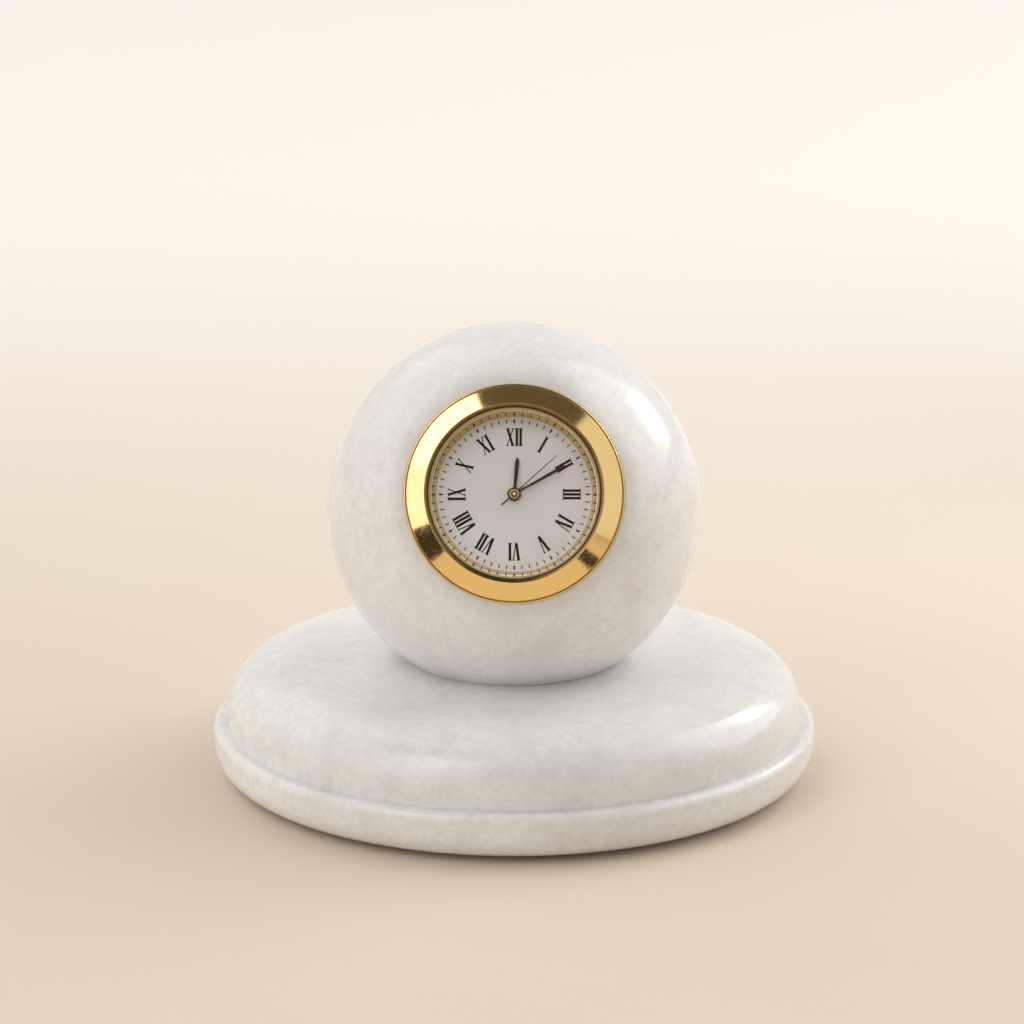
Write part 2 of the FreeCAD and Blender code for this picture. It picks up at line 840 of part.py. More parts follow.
def make_fifth_wheel():
    teeth = wheel(
        rotor_module, fifth_wheel_teeth, 0, wheel_layers[3] - wheel_thickness / 2, wheel_thickness
    )
    leaves = wheel(
        second_module,
        fifth_pinion_teeth,
        fifth_phase,
        wheel_layers[2] - pinion_height / 2,
        pinion_height,
    )
    end = plate_bottom + pivot_depth - pivot_clearance
    return moved(make_wheel_set(teeth, leaves, end), fifth_place)


def make_third_wheel():
    teeth = wheel(
        train_module,
        third_wheel_teeth,
        third_phase,
        wheel_layers[1] - wheel_thickness / 2,
        wheel_thickness,
    )
    leaves = wheel(
        centre_module,
        third_pinion_teeth,
        0,
        wheel_layers[0] - pinion_height / 2,
        pinion_height,
    )
    end = plate_bottom + pivot_depth - pivot_clearance
    return moved(make_wheel_set(teeth, leaves, end), third_place)


def make_second_wheel():
    """The wheel and pinion of the second hand, on the arbor that runs up through the dial."""
    teeth = wheel(
        second_module, second_wheel_teeth, 0, wheel_layers[2] - wheel_thickness / 2, wheel_thickness
    )
    leaves = wheel(
        train_module, second_pinion_teeth, 0, wheel_layers[1] - pinion_height / 2, pinion_height
    )
    low_end = bridge_top - pivot_depth + pivot_clearance
    arbor = disc(second_arbor_radius, low_end, second_hand_top)
    return joined([teeth, leaves, arbor])


def make_centre_wheel():
    layer = wheel_layers[0]
    teeth = wheel(
        centre_module,
        centre_wheel_teeth,
        centre_phase,
        layer - wheel_thickness / 2,
        wheel_thickness,
    )
    return teeth.cut(disc(cannon_radius, layer - wheel_thickness, layer + wheel_thickness))


def make_cannon_pinion():
    """The minute hand's pipe, driven by the centre wheel, with the motion work's first pinion."""
    bottom = wheel_layers[0] - wheel_thickness / 2
    pipe = disc(cannon_radius, bottom, minute_hand_top)
    leaves = wheel(
        motion_module,
        cannon_pinion_teeth,
        0,
        minute_wheel_bottom,
        minute_wheel_top - minute_wheel_bottom,
    )
    bore = disc(cannon_bore_radius, bottom - overrun, minute_hand_top + overrun)
    return joined([pipe, leaves]).cut(bore)


def make_minute_wheel():
    teeth = wheel(
        motion_module,
        minute_wheel_teeth,
        minute_phase,
        minute_wheel_bottom,
        minute_wheel_top - minute_wheel_bottom,
    )
    leaves = wheel(
        hour_module, minute_pinion_teeth, 0, minute_wheel_top, hour_wheel_top - minute_wheel_top
    )
    bore = disc(minute_post_radius + pivot_clearance, minute_wheel_bottom, hour_wheel_top)
    return moved(joined([teeth, leaves]).cut(bore), minute_place)


def make_hour_wheel():
    teeth = wheel(
        hour_module, hour_wheel_teeth, hour_phase, hour_wheel_bottom, motion_wheel_thickness
    )
    pipe = disc(hour_pipe_radius, hour_wheel_bottom, hour_hand_top)
    bore = disc(hour_bore_radius, hour_wheel_bottom, hour_hand_top)
    return joined([teeth, pipe]).cut(bore)


def make_dial_washer():
    inner = hour_pipe_radius + rim_clearance
    return ring(inner + dial_washer_width, inner, washer_bottom, washer_top)


# Hands


def leaf_blade(length, width, bottom, thickness):
    """A slim leaf that points along Y: narrow at the hub, widest near the end, then a short point."""
    neck = width * hand_neck_share / 2
    start = hand_hub_radius / 2
    widest = length * hand_widest_share
    middle = (start + widest) / 2
    swell = neck + (width / 2 - neck) * hand_swell_share
    corners = [
        Vector(neck, start, bottom),
        Vector(width / 2, widest, bottom),
        Vector(0, length, bottom),
        Vector(-width / 2, widest, bottom),
        Vector(-neck, start, bottom),
    ]
    edges = [
        Part.Arc(corners[0], Vector(swell, middle, bottom), corners[1]).toShape(),
        Part.makeLine(corners[1], corners[2]),
        Part.makeLine(corners[2], corners[3]),
        Part.Arc(corners[3], Vector(-swell, middle, bottom), corners[4]).toShape(),
        Part.makeLine(corners[4], corners[0]),
    ]
    return Part.Face(Part.Wire(edges)).extrude(Vector(0, 0, thickness))


def pointed(shape, clockwise):
    """The hand, turned clockwise from twelve."""
    shape.rotate(Vector(0, 0, 0), Vector(0, 0, 1), -clockwise)
    return shape


def make_hour_hand():
    blade = leaf_blade(hour_hand_length, hour_hand_width, hour_hand_bottom, hour_hand_thickness)
    hub = disc(hand_hub_radius, hour_hand_bottom, hour_hand_top)
    bore = disc(hour_pipe_radius, hour_hand_bottom, hour_hand_top)
    return pointed(joined([blade, hub]).cut(bore), hour_hand_angle)


def make_minute_hand():
    blade = leaf_blade(
        minute_hand_length, minute_hand_width, minute_hand_bottom, minute_hand_thickness
    )
    hub = disc(hand_hub_radius, minute_hand_bottom, minute_hand_top)
    rim_top = minute_hand_top + hand_hub_rim_height
    rim = ring(hand_hub_radius, hand_hub_radius - hand_hub_rim_width, minute_hand_bottom, rim_top)
    bore = disc(cannon_radius, minute_hand_bottom, minute_hand_top)
    return pointed(joined([blade, hub, rim]).cut(bore), minute_hand_angle)


def make_second_hand():
    half_tail = second_tail_width / 2
    half_middle = second_hand_width / 2
    half_tip = second_tip_width / 2
    corners = [
        Vector(half_tail, -second_hand_tail, second_hand_bottom),
        Vector(half_middle, 0, second_hand_bottom),
        Vector(half_tip, second_hand_length, second_hand_bottom),
        Vector(-half_tip, second_hand_length, second_hand_bottom),
        Vector(-half_middle, 0, second_hand_bottom),
        Vector(-half_tail, -second_hand_tail, second_hand_bottom),
    ]
    outline = Part.makePolygon(corners + corners[:1])
    blade = Part.Face(outline).extrude(Vector(0, 0, second_hand_thickness))
    hub = disc(second_hub_radius, second_hand_bottom, second_hand_bottom + second_hub_height)
    bore = disc(second_arbor_radius, second_hand_bottom, second_hand_top)
    return pointed(joined([blade, hub]).cut(bore), second_hand_angle)


# Electrical parts


def make_battery():
    top = bridge_bottom + battery_height
    return disc(battery_radius, bridge_bottom, top, battery_place.x, battery_place.y)


def make_battery_clamp():
    """A spring strip from a bridge screw across the battery."""
    place = pillar_places[1]
    along = (battery_place - place).normalize()
    end = battery_place + along * battery_radius * clamp_reach_share
    bottom = bridge_bottom - clamp_thickness
    link = strip(place, end, clamp_width / 2, bottom, bridge_bottom)
    return link.cut(disc(screw_radius, bottom, bridge_bottom, place.x, place.y))


def make_stator():
    """A soft iron plate with the rotor's hole and a leg to each end of the coil's core."""
    left, right = -stator_half_length, stator_half_length
    leg_end = coil_y - core_width / 2
    body = block(left, right, stator_low_edge, stator_high_edge, stator_bottom, stator_top)
    legs = [
        block(left, left + stator_leg_width, leg_end, stator_low_edge, stator_bottom, stator_top),
        block(right - stator_leg_width, right, leg_end, stator_low_edge, stator_bottom, stator_top),
    ]
    hole = disc(stator_hole_radius, stator_bottom, stator_top, rotor_place.x, rotor_place.y)
    return joined([body] + legs).cut(hole)


def make_coil_core():
    side = core_width / 2
    return block(
        -core_half_length, core_half_length, coil_y - side, coil_y + side, core_bottom, core_top
    )


def make_coil():
    start = Vector(-coil_length / 2, coil_y, coil_height)
    winding = Part.makeCylinder(coil_radius, coil_length, start, Vector(1, 0, 0))
    return winding.cut(make_coil_core())


def make_circuit_board():
    """A thin board, round where it follows the plate and straight beside the third wheel."""
    reach = plate_radius - board_margin
    round_board = disc(reach, board_bottom, board_top)
    side = block(-plate_radius, board_edge, -plate_radius, plate_radius, board_bottom, board_top)
    return round_board.common(side)


def make_quartz_can():
    middle_x = board_edge - board_clearance - 2 * quartz_radius
    start = Vector(middle_x, -quartz_length / 2, board_bottom - quartz_radius)
    return Part.makeCylinder(quartz_radius, quartz_length, start, Vector(0, 1, 0))


def make_driver_chip():
    right = board_edge - board_clearance
    half = chip_side / 2
    return block(
        right - chip_side,
        right,
        chip_offset - half,
        chip_offset + half,
        board_bottom - chip_height,
        board_bottom,
    )


# Setting work


def make_setting_wheel():
    thickness = minute_wheel_top - minute_wheel_bottom
    teeth = wheel(
        motion_module, setting_wheel_teeth, setting_phase, minute_wheel_bottom, thickness
    )
    bore = disc(minute_post_radius + pivot_clearance, minute_wheel_bottom, minute_wheel_top)
    return moved(teeth.cut(bore), setting_place)


def make_stem():
    """Pilot, square, collar, groove and the round shank that screws into the crown."""
    half = stem_square / 2
    pilot = along_stem(stem_pilot_radius, square_start - stem_pilot_length, square_start)
    square = block(square_start, square_end, -half, half, stem_height - half, stem_height + half)
    collar = along_stem(stem_radius, square_end, groove_start)
    neck = along_stem(stem_groove_radius, groove_start, groove_end)
    shank = along_stem(stem_radius, groove_end, stem_end)
    return joined([pilot, square, collar, neck, shank])


def make_sliding_pinion():
    """A clutch pinion that slides on the stem's square, with a neck for the yoke."""
    corners = toothed_outline(
        sliding_pinion_radius, sliding_pinion_neck_radius, sliding_pinion_teeth, 0, 0
    )
    toothed = prism(corners, sliding_pinion_length)
    neck_start = (sliding_pinion_length - sliding_pinion_neck_length) / 2
    neck_end = neck_start + sliding_pinion_neck_length
    neck = ring(sliding_pinion_radius, sliding_pinion_neck_radius, neck_start, neck_end)
    half = stem_square / 2 + sliding_clearance
    hole = block(-half, half, -half, half, 0, sliding_pinion_length)
    body = toothed.cut([neck, hole])
    body.rotate(Vector(0, 0, 0), Vector(0, 1, 0), 90)
    body.translate(Vector(pinion_end, 0, stem_height))
    return body


def make_setting_lever():
    """Turns on its post when the stem moves; its nose stands in the stem's groove."""
    nose = Vector(groove_middle, 0, 0)
    link = strip(lever_place, nose, lever_radius, lever_bottom, lever_top)
    nose_end = stem_height - stem_groove_radius - pivot_clearance
    pin = disc(lever_nose_radius, lever_top, nose_end, nose.x, nose.y)
    bore_radius = lever_post_radius + pivot_clearance
    bore = disc(bore_radius, lever_bottom, lever_top, lever_place.x, lever_place.y)
    return joined([link, pin]).cut(bore)


def make_yoke():
    """Turns on its post and shifts the sliding pinion by its neck."""
    nose = Vector(pinion_middle, 0, 0)
    link = strip(yoke_place, nose, yoke_radius, yoke_bottom, yoke_top)
    nose_end = stem_height - sliding_pinion_neck_radius - pivot_clearance
    pin = disc(lever_nose_radius, yoke_top, nose_end, nose.x, nose.y)
    bore_radius = lever_post_radius + pivot_clearance
    bore = disc(bore_radius, yoke_bottom, yoke_top, yoke_place.x, yoke_place.y)
    return joined([link, pin]).cut(bore)


def make_crown_tube():
    tube = along_stem(tube_radius, holder_bore, tube_end)
    return tube.cut(along_stem(tube_bore, holder_bore, tube_end))


def make_stem_seal():
    """A soft ring on the stem, which runs in the crown tube."""
    middle = (holder_bore + tube_end - crown_travel) / 2
    start, end = middle - seal_width / 2, middle + seal_width / 2
    outer = along_stem(tube_bore - seal_clearance, start, end)
    return outer.cut(along_stem(stem_radius + seal_clearance / 2, start, end))


def make_crown():
    """A fluted button with a rounded end and the hole for the stem."""
    root = crown_radius - crown_flute_depth
    corners = toothed_outline(crown_radius, root, crown_teeth, 0, 0)
    body = prism(corners, crown_length - crown_edge_round)
    cap = Part.makeCone(root, root - crown_edge_round, crown_edge_round)
    cap.translate(Vector(0, 0, crown_length - crown_edge_round))
    hole = disc(stem_radius, 0, stem_in_crown)
    button = joined([body, cap]).cut(hole)
    button.rotate(Vector(0, 0, 0), Vector(0, 1, 0), 90)
    button.translate(Vector(crown_start, 0, stem_height))
    return button


# Every piece by its node's name: first what stands in the frame of the base, then the insert
standing_pieces = {
    "stone_base": make_stone_base,
    "felt_pad": make_felt_pad,
    "stone_ball": make_stone_ball,
    "joining_stud": make_joining_stud,
    "stud_washer": make_stud_washer,
    "stud_nut": make_stud_nut,
}
insert_pieces = {
    "bezel": make_bezel,
    "crystal": make_crystal,
    "crystal_gasket": make_crystal_gasket,
    "rehaut_ring": make_rehaut_ring,
    "dial": make_dial,
    "insert_case": make_insert_case,
    "retaining_ring": make_retaining_ring,
    "case_back": make_case_back,
    "back_gasket": make_back_gasket,
    "movement_holder": make_movement_holder,
    "main_plate": make_main_plate,
    "train_bridge": make_train_bridge,
    "bridge_screws": make_bridge_screws,
    "rotor": make_rotor,
    "fifth_wheel": make_fifth_wheel,
    "third_wheel": make_third_wheel,
    "second_wheel": make_second_wheel,
    "centre_wheel": make_centre_wheel,
    "cannon_pinion": make_cannon_pinion,
    "minute_wheel": make_minute_wheel,
    "hour_wheel": make_hour_wheel,
    "dial_washer": make_dial_washer,
    "hour_hand": make_hour_hand,
    "minute_hand": make_minute_hand,
    "second_hand": make_second_hand,
    "battery": make_battery,
    "battery_clamp": make_battery_clamp,
    "stator": make_stator,
    "coil_core": make_coil_core,
    "coil": make_coil,
    "circuit_board": make_circuit_board,
    "quartz_can": make_quartz_can,
    "driver_chip": make_driver_chip,
    "setting_wheel": make_setting_wheel,
    "stem": make_stem,
    "sliding_pinion": make_sliding_pinion,
    "setting_lever": make_setting_lever,
    "yoke": make_yoke,
    "crown_tube": make_crown_tube,
    "stem_seal": make_stem_seal,
    "crown": make_crown,
}

os.makedirs("parts", exist_ok=True)
for name, make in standing_pieces.items():
    make().exportStep(f"parts/{name}.step")
for name, make in insert_pieces.items():
    piece = make()
    piece.Placement = insert_frame.multiply(piece.Placement)
    piece.exportStep(f"parts/{name}.step")
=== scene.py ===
import json
import math

import bmesh
import bpy
from mathutils import Matrix, Vector


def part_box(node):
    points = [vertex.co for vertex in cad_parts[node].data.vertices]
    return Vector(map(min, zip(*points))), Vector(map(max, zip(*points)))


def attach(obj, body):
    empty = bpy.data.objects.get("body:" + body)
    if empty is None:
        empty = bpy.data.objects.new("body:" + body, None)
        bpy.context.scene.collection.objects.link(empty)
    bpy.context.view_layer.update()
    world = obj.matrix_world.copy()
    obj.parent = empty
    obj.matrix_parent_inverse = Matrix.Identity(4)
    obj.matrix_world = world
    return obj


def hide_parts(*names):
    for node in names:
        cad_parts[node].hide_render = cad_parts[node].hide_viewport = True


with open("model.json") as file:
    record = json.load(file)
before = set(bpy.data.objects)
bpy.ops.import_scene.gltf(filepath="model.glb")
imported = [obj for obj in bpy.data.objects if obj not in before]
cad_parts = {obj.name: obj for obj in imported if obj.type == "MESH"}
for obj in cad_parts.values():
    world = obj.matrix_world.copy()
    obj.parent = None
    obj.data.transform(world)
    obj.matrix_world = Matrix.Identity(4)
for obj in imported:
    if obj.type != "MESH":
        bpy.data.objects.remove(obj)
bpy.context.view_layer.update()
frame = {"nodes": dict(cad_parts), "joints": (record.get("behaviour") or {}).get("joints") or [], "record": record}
nodes = frame["nodes"]

MM = 0.001
scene = bpy.context.scene

# Places

hands_joint = next(j for j in frame["joints"] if j["name"] == "second_spin")
OUT = -Vector(hands_joint["axis"]).normalized()
SIDE = Vector((1, 0, 0))
UP = OUT.cross(SIDE)
SEAT = Vector(hands_joint["pos_m"])
INSERT = Matrix((
    (SIDE.x, UP.x, OUT.x, SEAT.x),
    (SIDE.y, UP.y, OUT.y, SEAT.y),
    (SIDE.z, UP.z, OUT.z, SEAT.z),
    (0, 0, 0, 1),
))
ball_low, ball_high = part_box("stone_ball")
BALL_RADIUS = (ball_high.x - ball_low.x) / 2
BALL_CENTRE = Vector((0, 0, ball_high.z - BALL_RADIUS))


def srgb(red, green, blue):
    """A colour given as it shows, 0 to 255, in linear light."""
    out = []
    for value in (red, green, blue):
        c = value / 255
        out.append(c / 12.92 if c <= 0.04045 else ((c + 0.055) / 1.055) ** 2.4)
    return (*out, 1)


# Node helpers


class Tree:
    """A short way to write the nodes of a material, or of the world."""

    def __init__(self, name, world=False):
        self.owner = (bpy.data.worlds if world else bpy.data.materials).new(name)
        self.owner.use_nodes = True
        self.tree = self.owner.node_tree
        self.tree.nodes.clear()
        self.out = self.node("ShaderNodeOutputWorld" if world else "ShaderNodeOutputMaterial")
        self.place = None

    def node(self, kind, **settings):
        n = self.tree.nodes.new(kind)
        for key, value in settings.items():
            setattr(n, key, value)
        return n

    def link(self, source, target):
        if isinstance(source, (int, float, tuple)):
            target.default_value = source
        else:
            self.tree.links.new(source, target)

    def coords(self):
        if self.place is None:
            self.place = self.node("ShaderNodeTexCoord").outputs["Object"]
        return self.place

    def mapped(self, scale):
        n = self.node("ShaderNodeMapping")
        self.link(self.coords(), n.inputs["Vector"])
        n.inputs["Scale"].default_value = scale
        return n.outputs["Vector"]

    def noise(self, scale, detail=3, rough=0.5, distortion=0, vector=None):
        n = self.node("ShaderNodeTexNoise")
        self.link(vector or self.coords(), n.inputs["Vector"])
        n.inputs["Scale"].default_value = scale
        n.inputs["Detail"].default_value = detail
        n.inputs["Roughness"].default_value = rough
        n.inputs["Distortion"].default_value = distortion
        return n.outputs["Fac"]

    def cells(self, scale):
        n = self.node("ShaderNodeTexVoronoi")
        self.link(self.coords(), n.inputs["Vector"])
        n.inputs["Scale"].default_value = scale
        return n.outputs["Color"]

    def ramp(self, value, low, high, to_low=0.0, to_high=1.0):
        n = self.node("ShaderNodeMapRange", interpolation_type="SMOOTHSTEP")
        self.link(value, n.inputs["Value"])
        ends = {"From Min": low, "From Max": high, "To Min": to_low, "To Max": to_high}
        for socket, number in ends.items():
            n.inputs[socket].default_value = number
        return n.outputs["Result"]

    def mix(self, factor, a, b):
        n = self.node("ShaderNodeMix", data_type="RGBA")
        self.link(factor, n.inputs["Factor"])
        self.link(a, n.inputs["A"])
        self.link(b, n.inputs["B"])
        return n.outputs["Result"]

    def math(self, operation, a, b):
        n = self.node("ShaderNodeMath", operation=operation)
        self.link(a, n.inputs[0])
        self.link(b, n.inputs[1])
        return n.outputs[0]

    def vector(self, operation, a, b=None):
        n = self.node("ShaderNodeVectorMath", operation=operation)
        self.link(a, n.inputs[0])
        if b is not None:
            n.inputs[1].default_value = b
        return n.outputs["Value" if operation in ("LENGTH", "DISTANCE") else "Vector"]

    def bump(self, height, distance, strength=1.0):
        n = self.node("ShaderNodeBump")
        self.link(height, n.inputs["Height"])
        n.inputs["Distance"].default_value = distance
        n.inputs["Strength"].default_value = strength
        return n.outputs["Normal"]

    def principled(self, **values):
        n = self.node("ShaderNodeBsdfPrincipled")
        for key, value in values.items():
            self.link(value, n.inputs[key.replace("_", " ")])
        self.link(n.outputs["BSDF"], self.out.inputs["Surface"])
        return n


# Materials

# Where a colour changes, in metres: painted shade on the marble, from the middle of the dial, and
# painted shade and light on the bezel, the gasket and the hub of the hands, from the insert's axis.
# The floor's runs to the back.
BEZEL_SHADE_RING = (0.0172, 0.0212)
MOUTH_SHADE_EDGE = (0.01431, 0.01437)
GASKET_SHADOW_LINE = (0.0136, 0.01374)
GROOVE_INNER = (0.00052, 0.00056)
GROOVE_OUTER = (0.00073, 0.00077)
PIN_EDGE = (0.00026, 0.00032)
FLOOR_FADE = (0.03, 0.42)


def marble():
    """White marble with a sugary grain, and a painted warm shade round the bezel for its shadow and the light its
    gold throws back.
    """
    t = Tree("marble")
    drift = t.noise(28, 2, 0.5, 0.3)
    clouds = t.noise(115, 4, 0.55, 0.5)
    mottle = t.noise(430, 3, 0.6)
    crystals = t.cells(1150)
    sugar = t.noise(3600, 2, 0.6)
    white = t.mix(t.ramp(drift, 0.35, 0.65), srgb(238, 237, 235), srgb(233, 231, 228))
    cloudy = t.mix(t.ramp(clouds, 0.45, 0.72, 0, 0.4), white, srgb(215, 212, 209))
    mottled = t.mix(t.ramp(mottle, 0.5, 0.75, 0, 0.28), cloudy, srgb(208, 205, 201))
    grained = t.mix(t.ramp(crystals, 0.3, 0.7, 0, 0.2), mottled, srgb(210, 208, 205))
    sugared = t.mix(t.ramp(sugar, 0.55, 0.75, 0, 0.3), grained, srgb(244, 243, 242))
    apart = t.vector("DISTANCE", t.coords(), SEAT)
    # Painted shade: darker and warmer near the bezel, by distance from the middle of the dial.
    painted_bezel_shade = t.mix(t.ramp(apart, *BEZEL_SHADE_RING, 0.42, 0), sugared, srgb(192, 182, 170))
    t.principled(
        Base_Color=painted_bezel_shade,
        Roughness=t.ramp(t.noise(700, 3, 0.6), 0.3, 0.7, 0.15, 0.22),
        IOR=1.52,
        Subsurface_Weight=0.12,
        Subsurface_Radius=(1.0, 0.9, 0.8),
        Subsurface_Scale=0.0015,
        Normal=t.bump(t.noise(260, 2, 0.5), 0.00002, 0.35),
    )
    return t.owner


def metal(name, colour, dark, rough, spread, scale, bump=0.000004, stretch=(1, 1, 1), coat=0.0):
    """Polished or brushed metal, a little uneven in colour and in polish."""
    t = Tree(name)
    where = t.mapped(stretch)
    tone = t.noise(scale, 3, 0.6, vector=where)
    wear = t.noise(scale * 5, 3, 0.7, vector=where)
    shade = t.mix(t.ramp(tone, 0.3, 0.75), colour, dark)
    t.principled(
        Base_Color=shade,
        Metallic=1.0,
        Roughness=t.ramp(wear, 0.3, 0.75, rough, rough + spread),
        Coat_Weight=coat,
        Normal=t.bump(wear, bump),
    )
    return t.owner


def axis_radius(t):
    """The distance from the insert's axis."""
    offset = t.vector("SUBTRACT", t.coords(), SEAT)
    return t.vector("LENGTH", t.vector("CROSS_PRODUCT", offset, OUT))


def gold(name, light, dark, low, high, mouth_shade_amount=0.0):
    """Gold plate with a faint waviness and fine pits, with painted shade, dark brown and rougher, in the mouth
    round the glass.
    """
    t = Tree(name)
    tone = t.noise(90, 2, 0.5)
    wave = t.noise(260, 2, 0.55)
    pits = t.noise(2400, 3, 0.7)
    shade = t.mix(t.ramp(tone, 0.3, 0.7), light, dark)
    worn = t.mix(t.ramp(pits, 0.62, 0.8, 0, 0.3), shade, srgb(206, 164, 98))
    # Painted shade: dark brown in the mouth round the glass, by distance from the insert's axis.
    mouth = t.ramp(axis_radius(t), *MOUTH_SHADE_EDGE, mouth_shade_amount, 0)
    height = t.math("ADD", wave, t.math("MULTIPLY", pits, 0.12))
    t.principled(
        Base_Color=t.mix(mouth, worn, srgb(88, 62, 30)),
        Metallic=1.0,
        Roughness=t.math("ADD", t.ramp(pits, 0.3, 0.8, low, high), t.math("MULTIPLY", mouth, 0.25)),
        Normal=t.bump(height, 0.00001),
    )
    return t.owner


def hand_gold():
    """Dark gold, with painted light, paler and rougher, on the flat between the rims of the hub and a painted
    highlight on the pin in its middle.
    """
    t = Tree("hand_gold")
    tone = t.noise(1400, 3, 0.6)
    radius = axis_radius(t)
    # Painted light on the hub's flat between the rims, and a painted highlight on the pin, by distance from the
    # insert's axis.
    groove_light_mask = t.math("MULTIPLY", t.ramp(radius, *GROOVE_INNER), t.ramp(radius, *GROOVE_OUTER, 1, 0))
    painted_hub_light = t.math("MAXIMUM", groove_light_mask, t.ramp(radius, *PIN_EDGE, 1, 0))
    shade = t.mix(t.ramp(tone, 0.3, 0.7), srgb(120, 90, 48), srgb(98, 72, 38))
    t.principled(
        Base_Color=t.mix(painted_hub_light, shade, srgb(236, 212, 164)),
        Metallic=1.0,
        Roughness=t.math("ADD", t.ramp(tone, 0.3, 0.7, 0.22, 0.32), t.math("MULTIPLY", painted_hub_light, 0.3)),
        Normal=t.bump(t.noise(5200, 2, 0.5), 0.000002),
    )
    return t.owner


def plastic(name, colour, dark, rough, spread, scale, bump, coat=0.0):
    """Moulded plastic, rubber, resin or board."""
    t = Tree(name)
    tone = t.noise(scale, 4, 0.6)
    fine = t.noise(scale * 6, 3, 0.7)
    t.principled(
        Base_Color=t.mix(t.ramp(tone, 0.3, 0.75), colour, dark),
        Roughness=t.ramp(fine, 0.3, 0.75, rough, rough + spread),
        Coat_Weight=coat,
        Normal=t.bump(fine, bump),
    )
    return t.owner


def glass():
    """Clear mineral glass that lets the lamps through to the dial."""
    t = Tree("mineral_glass")
    haze = t.noise(300, 2, 0.5)
    p = t.principled(
        Base_Color=t.mix(haze, (0.985, 0.99, 0.99, 1), (0.97, 0.98, 0.98, 1)),
        Roughness=t.ramp(haze, 0.3, 0.7, 0.0, 0.012),
        Transmission_Weight=1.0,
        IOR=1.5,
    )
    clear = t.node("ShaderNodeBsdfTransparent")
    clear.inputs["Color"].default_value = (0.94, 0.945, 0.945, 1)
    path = t.node("ShaderNodeLightPath")
    choose = t.node("ShaderNodeMixShader")
    t.link(path.outputs["Is Shadow Ray"], choose.inputs["Fac"])
    t.link(p.outputs["BSDF"], choose.inputs[1])
    t.link(clear.outputs["BSDF"], choose.inputs[2])
    t.link(choose.outputs["Shader"], t.out.inputs["Surface"])
    return t.owner


def gasket():
    """Clear gasket that takes on the gold round it, with a painted shadow line, dark brown, at its outer edge."""
    t = Tree("clear_gasket")
    tone = t.noise(800, 2, 0.5)
    shade = t.mix(tone, srgb(214, 180, 124), srgb(192, 154, 98))
    t.principled(
        # Painted shadow line: dark brown at the outer edge, by distance from the insert's axis.
        Base_Color=t.mix(t.ramp(axis_radius(t), *GASKET_SHADOW_LINE), shade, srgb(92, 66, 34)),
        Roughness=t.ramp(tone, 0.3, 0.7, 0.12, 0.22),
        IOR=1.49,
        Subsurface_Weight=0.2,
        Normal=t.bump(tone, 0.000006),
    )
    return t.owner


def dial_paint():
    """Off-white matt paint with a fine grain."""
    t = Tree("dial_paint")
    grain = t.noise(6500, 2, 0.6)
    cloud = t.noise(160, 3, 0.5)
    shade = t.mix(t.ramp(cloud, 0.3, 0.7), srgb(228, 224, 219), srgb(223, 219, 214))
    t.principled(
        Base_Color=t.mix(t.ramp(grain, 0.4, 0.7, 0, 0.25), shade, srgb(213, 208, 202)),
        Roughness=t.ramp(grain, 0.3, 0.7, 0.42, 0.55),
        Normal=t.bump(grain, 0.000002),
    )
    return t.owner


def ink():
    """Brown-black print, hardly glossy."""
    t = Tree("dial_ink")
    grain = t.noise(7000, 2, 0.6)
    t.principled(
        Base_Color=t.mix(t.ramp(grain, 0.35, 0.7), srgb(24, 15, 8), srgb(36, 24, 14)),
        Roughness=t.ramp(grain, 0.3, 0.7, 0.4, 0.55),
        Specular_IOR_Level=0.12,
        Normal=t.bump(grain, 0.000003),
    )
    return t.owner


def felt():
    """Grey-brown felt with short tufts."""
    t = Tree("felt")
    fibre = t.noise(2600, 5, 0.75, 1.5)
    tuft = t.noise(500, 4, 0.7)
    shade = t.mix(t.ramp(fibre, 0.35, 0.7), srgb(92, 86, 80), srgb(58, 53, 49))
    t.principled(
        Base_Color=t.mix(t.ramp(tuft, 0.4, 0.7, 0, 0.4), shade, srgb(112, 105, 98)),
        Roughness=t.ramp(fibre, 0.3, 0.7, 0.85, 1.0),
        Sheen_Weight=0.3,
        Normal=t.bump(t.math("ADD", fibre, tuft), 0.0001, 0.6),
    )
    return t.owner


def floor_paint():
    """A pale matt floor, paler towards the back."""
    t = Tree("floor")
    split = t.node("ShaderNodeSeparateXYZ")
    t.link(t.coords(), split.inputs[0])
    far = t.ramp(split.outputs["Y"], *FLOOR_FADE)
    near = t.mix(t.noise(14, 4, 0.6), srgb(229, 217, 200), srgb(225, 212, 194))
    t.principled(
        Base_Color=t.mix(far, near, srgb(250, 245, 238)),
        Roughness=0.9,
        Specular_IOR_Level=0.0,
    )
    return t.owner


